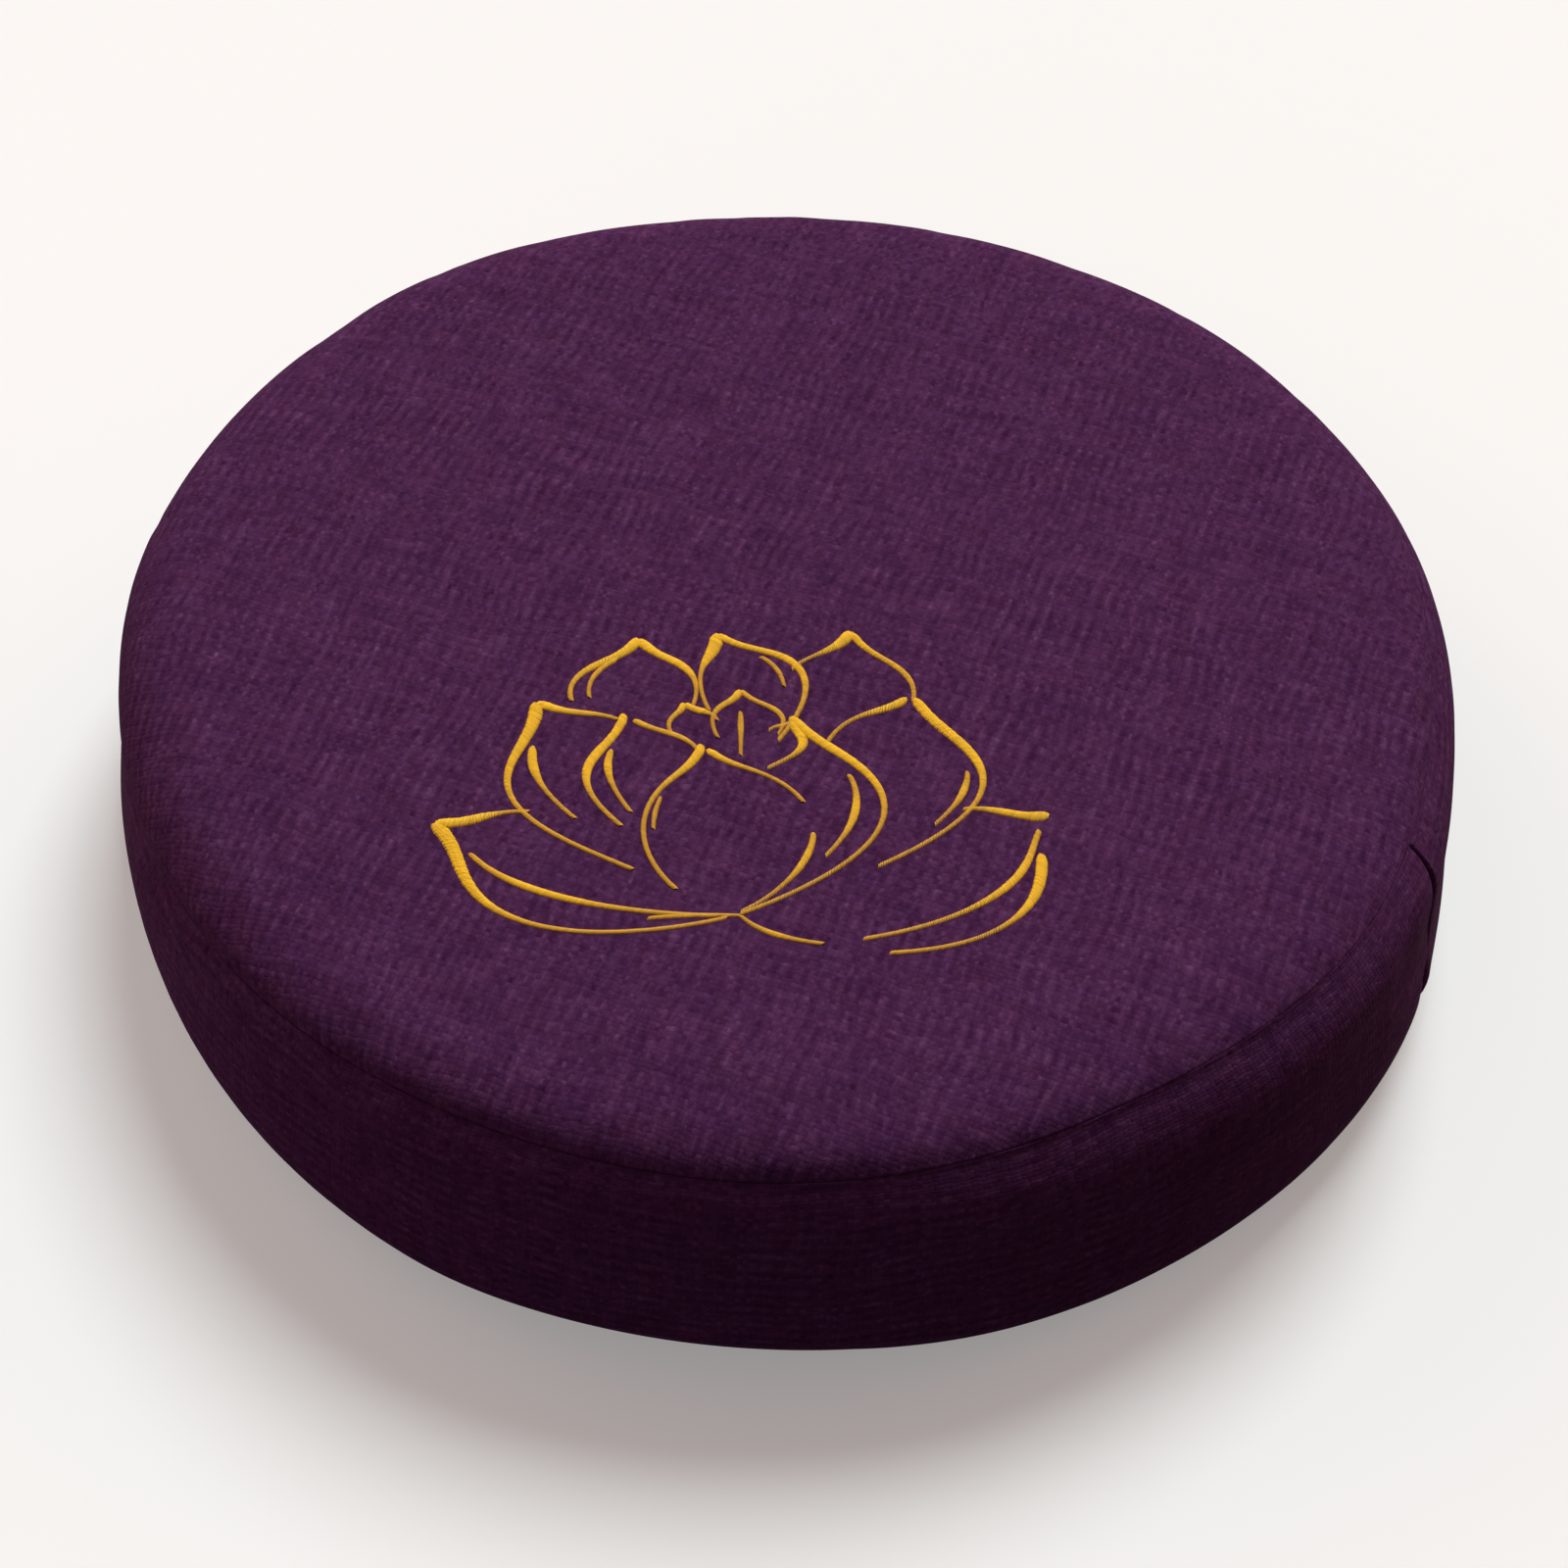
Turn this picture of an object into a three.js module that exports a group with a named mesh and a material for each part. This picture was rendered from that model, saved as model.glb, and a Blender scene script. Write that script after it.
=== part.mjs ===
// Round, low meditation cushion. One filled body stands for the sewn cover and
// its filling: a crowned top, a rounded shoulder, a side band and a flat base.
// Three seams are drawn into it: the top seam, which leans because the cover
// has slipped a little, the bottom seam, and the upright join that closes the
// side band. Millimetres, +Z up, origin in the middle of the base.

import * as THREE from 'three';
import { ParametricGeometry } from 'three/addons/geometries/ParametricGeometry.js';
import { mergeVertices } from 'three/addons/utils/BufferGeometryUtils.js';

// Driving dimensions
const RADIUS = 200; // mean outline radius at the top of the wall
const RIM_HEIGHT = 82.5; // height at which the rounded shoulder begins
const CROWN = 4; // rise of the top's middle above the rim
const SHOULDER = 26; // radius of the rounded top edge
const FOOT = 17; // radius of the rounded bottom edge
const FLARE = 3; // how far the foot stands out past the top of the wall

// Seams
const BAND_HEIGHT = 79; // cloth of the side band between its two seams
const SEAM_DEPTH = 1.8; // how deep a seam draws the cloth in
const SEAM_SPREAD = 2.2; // how far from its line a seam draws the cloth in
const JOIN_ANGLE = -21.5; // where the side band is closed, in degrees
const JOIN_DEPTH = 2.2;
const JOIN_SPREAD = 1.6;
const POCKET = { above: 20, depth: 3.2, tall: 6, wide: 3 }; // open pucker low on the join, above the bottom seam

// Distance from the start of the shoulder down to the top seam, along the
// cloth. It is least where the cover has been pulled up and most opposite.
const SEAM_DROPS = [
	{ angle: -180, drop: 50 },
	{ angle: -150, drop: 33.5 },
	{ angle: -120, drop: 22 },
	{ angle: -90, drop: 20 },
	{ angle: -60, drop: 14.5 },
	{ angle: -30, drop: 17 },
	{ angle: 0, drop: 19 },
	{ angle: 30, drop: 22 },
	{ angle: 60, drop: 27 },
	{ angle: 90, drop: 33 },
	{ angle: 120, drop: 40 },
	{ angle: 150, drop: 47 },
];

// The outline's unevenness: so many waves round the rim, their height, and the
// angle of a crest in degrees
const OUTLINE_WAVES = [
	{ waves: 2, height: 1.2, crest: -46 },
	{ waves: 3, height: 1.6, crest: 33 },
	{ waves: 4, height: 1.1, crest: -40 },
	{ waves: 5, height: 0.6, crest: 27 },
];

// Grid
const COLUMN_STEP = 6; // degrees between columns
const JOIN_COLUMNS = [ 0.35, 0.8, 1.6, 3.2 ]; // closer columns beside the join
const SEAM_ROWS = [ - 7, - 3.4, - 1.6, 0, 1.6, 3.4, 7 ]; // closer rows across a seam
const TOP_STEPS = 8;
const SIDE_STEPS = 8;
const BASE_STEPS = 5;

const radians = THREE.MathUtils.degToRad;
const bell = ( distance, spread ) => Math.exp( - ( ( distance / spread ) ** 2 ) );

// Lengths along the profile, counted from the start of the shoulder
const topRadius = RADIUS - SHOULDER;
const shoulderEnd = SHOULDER * Math.PI / 2;
const wallHeight = RIM_HEIGHT - SHOULDER - FOOT;
const wallEnd = shoulderEnd + wallHeight;
const footEnd = wallEnd + FOOT * Math.PI / 2;
const baseRadius = RADIUS + FLARE - FOOT;
const profileEnd = footEnd + baseRadius;

// A point of the plain profile and the direction pointing out of the cloth.
// In turn: a shallow dome, a quarter circle, a wall that flares smoothly, a
// smaller quarter circle and the flat base.
function profile( along ) {

	if ( along < 0 ) {

		const r = topRadius + along;
		const share = r / topRadius;
		const slope = 2 * CROWN * share / topRadius;
		return { r, z: RIM_HEIGHT + CROWN * ( 1 - share ** 2 ), outR: slope, outZ: 1 };

	}

	if ( along < shoulderEnd ) {

		const turn = along / SHOULDER;
		const outR = Math.sin( turn ), outZ = Math.cos( turn );
		return { r: topRadius + SHOULDER * outR, z: RIM_HEIGHT - SHOULDER * ( 1 - outZ ), outR, outZ };

	}

	if ( along < wallEnd ) {

		const share = ( along - shoulderEnd ) / wallHeight;
		const r = RADIUS + FLARE * THREE.MathUtils.smoothstep( share, 0, 1 );
		return { r, z: FOOT + wallHeight * ( 1 - share ), outR: 1, outZ: 0 };

	}

	if ( along < footEnd ) {

		const turn = ( along - wallEnd ) / FOOT;
		const outR = Math.cos( turn ), outZ = - Math.sin( turn );
		return { r: baseRadius + FOOT * outR, z: FOOT * ( 1 + outZ ), outR, outZ };

	}

	return { r: profileEnd - along, z: 0, outR: 0, outZ: - 1 };

}

// The top seam's drop at any angle: a smooth closed curve through the table
function seamDrop( degrees ) {

	const step = 360 / SEAM_DROPS.length;
	const place = ( degrees - SEAM_DROPS[ 0 ].angle ) / step;
	const before = Math.floor( place );
	const share = place - before;
	const [ a, b, c, d ] = [ - 1, 0, 1, 2 ].map( ( k ) =>
		SEAM_DROPS[ THREE.MathUtils.euclideanModulo( before + k, SEAM_DROPS.length ) ].drop );
	return b + share * ( c - a + share * ( 2 * a - 5 * b + 4 * c - d + share * ( 3 * ( b - c ) + d - a ) ) ) / 2;

}

// How much wider or narrower than round the cushion is at an angle
function outline( degrees ) {

	return 1 + OUTLINE_WAVES.reduce( ( sum, { waves, height, crest } ) =>
		sum + height / RADIUS * Math.cos( waves * radians( degrees - crest ) ), 0 );

}

// How deep the seams draw the cloth in at a place on it
function drawnIn( degrees, along, topSeam, bottomSeam ) {

	const off = THREE.MathUtils.euclideanModulo( degrees - JOIN_ANGLE + 180, 360 ) - 180;
	const across = radians( off ) * RADIUS;
	const onBand = THREE.MathUtils.smoothstep( along, topSeam - 1, topSeam + 1 ) *
		( 1 - THREE.MathUtils.smoothstep( along, bottomSeam - 1, bottomSeam + 1 ) );
	const seams = SEAM_DEPTH * ( bell( along - topSeam, SEAM_SPREAD ) + bell( along - bottomSeam, SEAM_SPREAD ) );
	const join = JOIN_DEPTH * bell( across, JOIN_SPREAD ) * onBand;
	const pocket = POCKET.depth * bell( across, POCKET.wide ) *
		bell( along - bottomSeam + POCKET.above, POCKET.tall );
	return Math.max( seams, join + pocket );

}

// Even steps from one length to the next, without the last
function steps( from, to, count ) {

	return Array.from( { length: count }, ( _, i ) => from + ( to - from ) * i / count );

}

// The rows of one column of the grid, as lengths along the profile
function rowsAt( topSeam, bottomSeam ) {

	const reach = SEAM_ROWS.at( - 1 );
	const acrossSeam = ( seam ) => SEAM_ROWS.slice( 0, - 1 ).map( ( d ) => seam + d );
	return [
		...steps( - topRadius, topSeam - reach, TOP_STEPS ),
		...acrossSeam( topSeam ),
		...steps( topSeam + reach, bottomSeam - reach, SIDE_STEPS ),
		...acrossSeam( bottomSeam ),
		...steps( bottomSeam + reach, profileEnd, BASE_STEPS ),
		profileEnd,
	];

}

// Rows with the one nearest the edge of the flat base moved onto that edge, so
// that the cushion stands on a whole ring
function meetingBase( rows ) {

	const off = rows.map( ( along ) => Math.abs( along - footEnd ) );
	return rows.with( off.indexOf( Math.min( ...off ) ), footEnd );

}

// The columns' angles, once round from the join and back to it
function columns() {

	const even = steps( COLUMN_STEP, 360, 360 / COLUMN_STEP - 1 );
	const after = [ 0, ...JOIN_COLUMNS ];
	const before = after.map( ( d ) => 360 - d ).reverse();
	return [ ...after, ...even, ...before ];

}

// A value of a list at a share of its length
function pick( list, share ) {

	const place = share * ( list.length - 1 );
	const before = Math.min( Math.floor( place ), list.length - 2 );
	return THREE.MathUtils.lerp( list[ before ], list[ before + 1 ], place - before );

}

// A closed surface with no doubled points, from any geometry
function closed( geometry ) {

	geometry.deleteAttribute( 'normal' );
	geometry.deleteAttribute( 'uv' );
	return mergeVertices( geometry );

}

function cushionGeometry() {

	const turns = columns();
	const rowCount = rowsAt( 0, BAND_HEIGHT ).length;

	const skin = ( u, v, target ) => {

		const degrees = JOIN_ANGLE + pick( turns, u );
		const topSeam = seamDrop( degrees );
		const bottomSeam = topSeam + BAND_HEIGHT;
		const along = pick( meetingBase( rowsAt( topSeam, bottomSeam ) ), 1 - v );
		const { r, z, outR, outZ } = profile( along );
		const depth = drawnIn( degrees, along, topSeam, bottomSeam ) / Math.hypot( outR, outZ );
		const reach = ( r - depth * outR ) * outline( degrees );
		const angle = radians( degrees );
		target.set( reach * Math.cos( angle ), reach * Math.sin( angle ), z - depth * outZ );

	};

	return closed( new ParametricGeometry( skin, turns.length - 1, rowCount - 1 ) );

}

// Slides a shape sideways so that the middle of its box is on the Z axis
function centred( geometry ) {

	geometry.computeBoundingBox();
	const middle = geometry.boundingBox.getCenter( new THREE.Vector3() );
	return geometry.translate( - middle.x, - middle.y, 0 );

}

const cloth = new THREE.MeshStandardMaterial( { color: 0x4b284b, roughness: 0.95, metalness: 0 } );

const cushion = new THREE.Mesh( centred( cushionGeometry() ), cloth );
cushion.name = 'cushion';

const group = new THREE.Group();
group.add( cushion );

export default group;
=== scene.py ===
import math

import bpy
import numpy as np
from mathutils import Matrix


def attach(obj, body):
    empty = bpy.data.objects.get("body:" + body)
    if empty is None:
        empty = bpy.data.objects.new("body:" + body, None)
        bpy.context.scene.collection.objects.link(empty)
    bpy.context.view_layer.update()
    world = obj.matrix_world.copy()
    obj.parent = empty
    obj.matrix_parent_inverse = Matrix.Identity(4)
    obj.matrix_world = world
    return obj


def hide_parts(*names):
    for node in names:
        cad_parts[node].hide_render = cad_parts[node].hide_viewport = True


bl_info = {
    "name": "Meditation Cushion",
    "version": (1, 0, 0),
    "blender": (4, 5, 0),
    "location": "3D View > Sidebar > Cushion",
    "description": "Low round cushion of slubby purple linen with a lotus in gold thread",
    "category": "Add Mesh",
}

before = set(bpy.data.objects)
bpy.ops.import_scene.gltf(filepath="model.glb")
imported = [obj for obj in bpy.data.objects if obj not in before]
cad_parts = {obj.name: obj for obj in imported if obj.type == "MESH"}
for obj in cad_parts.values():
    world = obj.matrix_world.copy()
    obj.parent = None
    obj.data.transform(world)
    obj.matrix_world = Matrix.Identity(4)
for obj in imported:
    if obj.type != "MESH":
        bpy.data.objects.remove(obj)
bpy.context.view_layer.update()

MM = 0.001

# Distance from the start of the shoulder down to the top seam, along the cloth, in millimetres,
# every 30 degrees from -180
SEAM_DROPS = np.array([50, 33.5, 22, 20, 14.5, 17, 19, 22, 27, 33, 40, 47])

# Height of the join's open pucker above the bottom seam, along the cloth
PUCKER_ABOVE = 20 * MM

# The outline's unevenness: waves round the rim, their height in millimetres, a crest's angle
OUTLINE_WAVES = (
    (2, 1.2, -46), (3, 1.6, 33), (4, 1.1, -40), (5, 0.6, 27), (7, 0.5, 24), (9, 0.3, 9),
)

# Soft folds and dents of the cloth: from one place to another, each an angle in degrees and a
# length along the cloth in millimetres, with the fold's half width and height in millimetres
FOLDS = (
    ("left_tuck", -163, 54, -143, 35, 3.2, 2.8),
    ("under_left_tuck", -162, 61, -144, 42, 3.0, -1.8),
    ("join_puff", -26.5, 58, -33, 55, 3.4, 0.9),
    ("join_dimple", -27.5, 39, -29.5, 38, 5.0, -0.7),
    ("join_swell", -24, 70, -34, 68, 10.0, 1.1),
    ("back_fullness", 15, 10, 170, 10, 26.0, 1.1),
    ("front_crease", -112, 58, -76, 52, 5.0, 0.35),
    ("front_hollow", -104, 74, -66, 70, 6.0, -0.4),
    ("right_crease", -64, 47, -44, 50, 4.5, 0.3),
    ("back_crease", 48, 74, 84, 80, 6.0, 0.4),
    ("far_left_crease", 150, 88, 176, 84, 6.0, 0.4),
)

# The lotus in millimetres, seen from above: where a petal grows from, its tip, its widths to the
# left and right of the line between them, the share of its run at which it is widest, and the
# share of its length taken by its drawn-out tip
PETAL_COLUMNS = ("name", "x", "y", "tip_x", "tip_y", "left", "right", "widest", "draw")
PETALS = (
    ("low_left", -13, -112, -98, -84, 22, 15, 0.46, 0.12),
    ("side_left", -24, -106, -73, -39, 24, 19, 0.54, 0.13),
    ("inner_left", -22, -104, -47, -42, 18, 16, 0.56, 0.14),
    ("front", -14, -112, -24, -52, 20, 27, 0.38, 0.14),
    ("inner_right", -13, -112, 0, -39, 10, 33, 0.46, 0.12),
    ("side_right", 12, -101, 35, -30, 17, 29, 0.50, 0.12),
    ("low_right", 0, -122, 73, -72, 17, 25, 0.47, 0.10),
    ("back_left", -40, -58, -45, -13, 21, 16, 0.46, 0.16),
    ("back_middle", -9, -58, -22, -10, 9, 21, 0.46, 0.14),
    ("back_right", 15, -62, 17, -7, 18, 19, 0.48, 0.15),
    ("bud", -13, -60, -14, -31, 8, 12, 0.50, 0.16),
    ("bud_left", -25, -57, -30, -37, 6, 8, 0.50, 0.16),
    ("bud_right", -6, -60, 1, -42, 5, 6, 0.50, 0.14),
)

# The stitched lines: a petal's edge (1 its left, -1 its right, 0 its middle line), the share of
# its width, the stretch from base to tip that is sewn, and the line's widths in millimetres at
# the two ends and where it is fullest, with the place of that
STROKE_COLUMNS = ("petal", "side", "share", "start", "end", "thin", "tip", "full", "at")
STROKES = (
    ("low_left", 1, 1.0, 0.01, 1.0, 1.2, 3.2, 3.0, 0.8),
    ("low_left", 1, 0.5, 0.04, 0.8, 1.2, 1.3, 2.0, 0.55),
    ("low_left", -1, 1.0, 0.63, 1.0, 1.1, 3.4, 2.6, 0.62),
    ("side_left", 1, 1.0, 0.15, 1.0, 1.2, 3.8, 2.5, 0.78),
    ("side_left", 1, 0.6, 0.38, 0.8, 1.1, 1.8, 2.4, 0.72),
    ("side_left", -1, 1.0, 0.7, 1.0, 1.1, 3.2, 1.7, 0.5),
    ("inner_left", 1, 1.0, 0.33, 1.0, 1.2, 2.4, 2.6, 0.62),
    ("inner_left", 1, 0.62, 0.38, 0.8, 1.1, 1.6, 2.0, 0.66),
    ("inner_left", -1, 1.0, 0.6, 0.97, 1.1, 1.8, 1.6, 0.5),
    ("front", 1, 1.0, 0.13, 1.0, 1.2, 2.8, 2.0, 0.84),
    ("front", 1, 0.86, 0.42, 0.62, 1.0, 1.2, 1.3, 0.5),
    ("front", -1, 1.0, 0.01, 0.33, 1.1, 1.5, 1.8, 0.6),
    ("front", -1, 1.0, 0.5, 0.98, 1.1, 2.2, 1.6, 0.8),
    ("inner_right", -1, 1.0, 0.01, 0.99, 1.2, 2.6, 2.3, 0.78),
    ("inner_right", -1, 0.76, 0.26, 0.66, 1.1, 1.3, 2.0, 0.5),
    ("side_right", -1, 1.0, 0.12, 0.99, 1.2, 2.4, 2.6, 0.76),
    ("side_right", -1, 0.84, 0.32, 0.6, 1.1, 1.2, 1.8, 0.6),
    ("side_right", 1, 1.0, 0.54, 0.98, 1.2, 2.6, 2.0, 0.76),
    ("low_right", -1, 1.0, 0.2, 0.86, 1.2, 1.9, 2.8, 0.8),
    ("low_right", -1, 0.62, 0.17, 0.94, 1.2, 1.4, 2.1, 0.62),
    ("low_right", 1, 1.0, 0.67, 1.0, 1.2, 4.0, 2.1, 0.5),
    ("back_left", 1, 1.0, 0.4, 1.0, 1.3, 3.6, 2.0, 0.55),
    ("back_left", 1, 0.74, 0.42, 0.84, 1.1, 1.8, 1.5, 0.55),
    ("back_left", -1, 1.0, 0.32, 1.0, 1.1, 3.2, 2.2, 0.55),
    ("back_middle", 1, 1.0, 0.34, 1.0, 1.1, 2.8, 3.4, 0.84),
    ("back_middle", -1, 1.0, 0.1, 1.0, 1.2, 2.2, 2.1, 0.55),
    ("back_middle", -1, 0.7, 0.42, 0.72, 1.0, 1.2, 1.3, 0.5),
    ("back_right", 1, 1.0, 0.63, 1.0, 1.1, 4.0, 2.5, 0.8),
    ("back_right", -1, 1.0, 0.44, 1.0, 1.1, 2.4, 1.6, 0.45),
    ("bud", 1, 1.0, 0.3, 1.0, 1.0, 2.4, 1.6, 0.6),
    ("bud", -1, 1.0, 0.34, 1.0, 1.0, 1.6, 1.5, 0.5),
    ("bud", 0, 1.0, 0.12, 0.66, 1.0, 1.1, 1.5, 0.6),
    ("bud_left", 1, 1.0, 0.34, 1.0, 1.0, 2.4, 1.3, 0.5),
    ("bud_left", -1, 1.0, 0.52, 1.0, 1.0, 2.4, 1.9, 0.6),
    ("bud_right", 1, 1.0, 0.6, 1.0, 0.9, 1.4, 1.2, 0.5),
    ("bud_right", -1, 1.0, 0.02, 1.0, 1.2, 2.4, 2.4, 0.6),
)

# Short lines under the flower, each from one place over a middle place to another
STEM_COLUMNS = ("x", "y", "mid_x", "mid_y", "to_x", "to_y", "thin", "tip", "full", "at")
STEMS = (
    (-36, -114, -24, -112.5, -11, -112, 1.1, 1.0, 1.3, 0.4),
    (-11, -112, -2, -117.5, 12, -120, 1.0, 1.1, 1.6, 0.5),
)


# Way round a thread on its map, and the width of a line whose attribute is one
THREAD_ROUND, WIDE_LINE = 0.4 * MM, 3 * MM


def rows_of(columns, table):
    """The rows of a table, each as a dictionary by its columns' names."""
    return [dict(zip(columns, row)) for row in table]


def number(name, description, default, **settings):
    """A property for a number."""
    return bpy.props.FloatProperty(name=name, description=description, default=default, **settings)


def length(name, description, default):
    """A property for a length in metres."""
    return number(name, description, default, unit="LENGTH", precision=5)


def share(name, description, default):
    """A property for a plain number from 0 to 1."""
    return number(name, description, default, min=0, max=1, subtype="FACTOR")


def angular(name, description, degrees):
    """A property for an angle."""
    return number(name, description, math.radians(degrees), subtype="ANGLE", unit="ROTATION")


def colour(name, description, default):
    """A property for a linear colour."""
    return bpy.props.FloatVectorProperty(
        name=name, description=description, default=default, subtype="COLOR", size=3, min=0, max=1
    )


class CushionSizes(bpy.types.PropertyGroup):
    """Sizes of the filled cushion."""

    radius: length("Radius", "Mean outline radius at the top of the wall", 0.200)
    rim_height: length("Rim height", "Height at which the rounded shoulder begins", 0.0825)
    crown: length("Crown", "Rise of the top's middle above the rim", 0.004)
    shoulder: length("Shoulder", "Radius of the rounded top edge", 0.026)
    foot: length("Foot", "Radius of the rounded bottom edge", 0.017)
    flare: length("Flare", "How far the foot stands out past the top of the wall", 0.003)
    band_height: length("Band height", "Cloth of the side band between its seams", 0.079)
    seam_roll: length("Seam roll", "Radius at which the cloth rolls into a seam", 0.0008)
    seam_dip: length("Seam dip", "How far a seam draws the cloth round it in", 0.0009)
    seam_turn: length("Seam turn", "How far the band turns in just under the top seam", 0.0009)
    front_turn: length("Front turn", "How much further it turns in at the front right", 0.0017)
    seam_reach: length("Seam reach", "How far from its line a seam draws the cloth in", 0.0034)
    shoulder_pull: length("Shoulder pull", "How far the top seam draws the front in", 0.0009)
    lap: length("Lap", "How far one side of the band's join stands over the other", 0.0007)
    pucker: length("Pucker", "Depth of the join's open pucker", 0.0046)
    gathers: length("Gathers", "Height of the small gathers along a seam", 0.00028)
    unevenness: length("Unevenness", "Height of the filling's soft lumps", 0.0007)
    puff: length("Puff", "The most that the filling may push the cloth out", 0.0011)
    join_angle: angular("Join angle", "Where the side band is closed", -21.5)
    fill: share("Fill", "How tightly the cushion is filled", 0.85)


class ClothFinish(bpy.types.PropertyGroup):
    """Look of the linen cover."""

    ground: colour("Ground", "Main colour of the linen", (0.0655, 0.0178, 0.0675))
    cool: colour("Cool yarns", "Colour of the bluer yarns", (0.0612, 0.0174, 0.0701))
    warm: colour("Warm yarns", "Colour of the redder yarns", (0.0688, 0.0182, 0.0649))
    warp: length("Warp", "Distance from one warp yarn to the next", 0.0012)
    weft: length("Weft", "Distance from one weft yarn to the next", 0.0016)
    rib: length("Rib", "Distance from one faint rib of the warp to the next", 0.00405)
    grain: angular("Grain", "Turn of the top panel's weave", -18)
    roughness: share("Roughness", "Roughness of the linen", 0.92)


class ThreadFinish(bpy.types.PropertyGroup):
    """Look and sizes of the embroidery."""

    # The two golds differ by painted sheen: thin lines are painted duller than full ones
    gold: colour("Gold", "Colour of the thread where a line is full", (1.0, 0.59, 0.014))
    thin_gold_less_sheen: colour("Thin gold", "Colour of the thread where a line is thin", (0.66, 0.34, 0.030))
    thread: length("Thread", "Thickness of the thread", 0.00041)
    spacing: length("Spacing", "Distance from one stitch to the next", 0.00042)
    padding: length("Padding", "Least height of the stitches over the cloth", 0.00019)
    boldness: number("Boldness", "How much wider than drawn the lines are sewn", 1.18, min=0)
    roughness: share("Roughness", "Roughness of the thread", 0.42)


class StudioSettings(bpy.types.PropertyGroup):
    """Light, floor and camera."""

    floor: colour("Floor", "Colour of the floor", (0.66, 0.66, 0.66))
    glow: number("Glow", "Light that comes through the floor", 0.26, min=0)
    key: number("Key light", "Strength of the broad light from behind", 3.05, min=0)
    spread: angular("Spread", "How wide the key light looks from the cushion", 28)
    ambient: number("Ambient", "Strength of the light from all round", 1.0, min=0)
    lens: number("Lens", "Focal length", 81.19, unit="CAMERA")


def settings_of(context, name):
    """One of this script's groups of settings."""
    return getattr(context.scene, "cushion_" + name)


# Plain form


def bell(distance, spread):
    """One at the middle, falling off on both sides as a bell curve."""
    return np.exp(-((distance / spread) ** 2))


def away(degrees, place):
    """An angle's difference from a place, from -180 to 180 degrees."""
    return (degrees - place + 180) % 360 - 180


def unit(vectors):
    """Vectors brought to a length of one."""
    return vectors / np.linalg.norm(vectors, axis=-1, keepdims=True)


def ease(value, low=0.0, high=1.0):
    """Zero below low, one above high and a smooth step between."""
    part = np.clip((value - low) / (high - low), 0, 1)
    return part * part * (3 - 2 * part)


def neighbours(part):
    """Four neighbours in a row and their weights for a smooth curve through the middle two."""
    return (
        (-1, part * (-1 + part * (2 - part)) / 2),
        (0, 1 + part * part * (3 * part - 5) / 2),
        (1, part * (1 + part * (4 - 3 * part)) / 2),
        (2, part * part * (part - 1) / 2),
    )


def landmarks(size):
    """Lengths along the cloth, from the start of the shoulder, at which the form changes: the
    top's radius, the ends of the shoulder, wall and foot, and the middle of the base."""
    top = size.radius - size.shoulder
    shoulder_end = size.shoulder * math.pi / 2
    wall_end = shoulder_end + size.rim_height - size.shoulder - size.foot
    foot_end = wall_end + size.foot * math.pi / 2
    return top, shoulder_end, wall_end, foot_end, foot_end + size.radius + size.flare - size.foot


def profile(size, along):
    """The upright half section of the plain form and the direction out of the cloth. In turn: a
    shallow dome, a quarter circle, a wall that flares smoothly, a smaller quarter circle and the
    flat base."""
    top, shoulder_end, wall_end, foot_end, end = landmarks(size)
    base = size.radius + size.flare - size.foot
    turn = np.clip(along, 0, shoulder_end) / size.shoulder
    tuck = np.clip(along - wall_end, 0, foot_end - wall_end) / size.foot
    wall = np.clip((along - shoulder_end) / (wall_end - shoulder_end), 0, 1)
    inner = (top + along) / top
    stretches = [along < 0, along < shoulder_end, along < wall_end, along < foot_end]
    wall_height = size.rim_height - size.shoulder - size.foot
    places = (
        (top + along, size.rim_height + size.crown * (1 - inner**2)),
        (top + size.shoulder * np.sin(turn), size.rim_height - size.shoulder * (1 - np.cos(turn))),
        (size.radius + size.flare * ease(wall), size.foot + wall_height * (1 - wall)),
        (base + size.foot * np.cos(tuck), size.foot * (1 - np.sin(tuck))),
    )
    r, z = (np.select(stretches, part, last) for part, last in zip(zip(*places), (end - along, 0.0)))
    lean = np.where(along < 0, np.arctan(2 * size.crown * inner / top), turn + tuck)
    return r, z, np.sin(lean), np.cos(lean)


def seam_lines(size, degrees):
    """Lengths along the cloth of the top and the bottom seam at an angle: a smooth closed
    curve through the table of drops, and the same a band's height further."""
    place = (degrees + 180) / 360 * len(SEAM_DROPS)
    before = np.floor(place).astype(int)
    drop = MM * sum(
        weight * SEAM_DROPS[(before + k) % len(SEAM_DROPS)] for k, weight in neighbours(place - before)
    )
    return drop, drop + size.band_height


def outline(size, degrees):
    """How much wider or narrower than round the cushion is at an angle: a sum of waves."""
    return 1 + sum(
        height * MM / size.radius * np.cos(waves * np.radians(degrees - crest))
        for waves, height, crest in OUTLINE_WAVES
    )


def middle(size):
    """How far the plain form's box lies off the axis, so that the cushion can be centred."""
    degrees = np.radians(np.arange(0, 360, 0.1))
    reach = (size.radius + size.flare) * outline(size, np.degrees(degrees))
    x, y = reach * np.cos(degrees), reach * np.sin(degrees)
    return np.array([(x.min() + x.max()) / 2, (y.min() + y.max()) / 2, 0])


# Cloth over the form


def soft_noise(x, y, seed, around=61):
    """Smooth random heights from about -1 to 1: random heights on a lattice that repeats after
    `around` cells in x, blended between its points by a smooth step."""
    table = np.random.RandomState(seed).uniform(-1, 1, (around, 67))
    i, j = np.floor(x).astype(int), np.floor(y).astype(int)
    u, v = ease(x - i), ease(y - j)
    near = table[i % around, j % 67] * (1 - v) + table[i % around, (j + 1) % 67] * v
    far = table[(i + 1) % around, j % 67] * (1 - v) + table[(i + 1) % around, (j + 1) % 67] * v
    return near * (1 - u) + far * u


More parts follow.
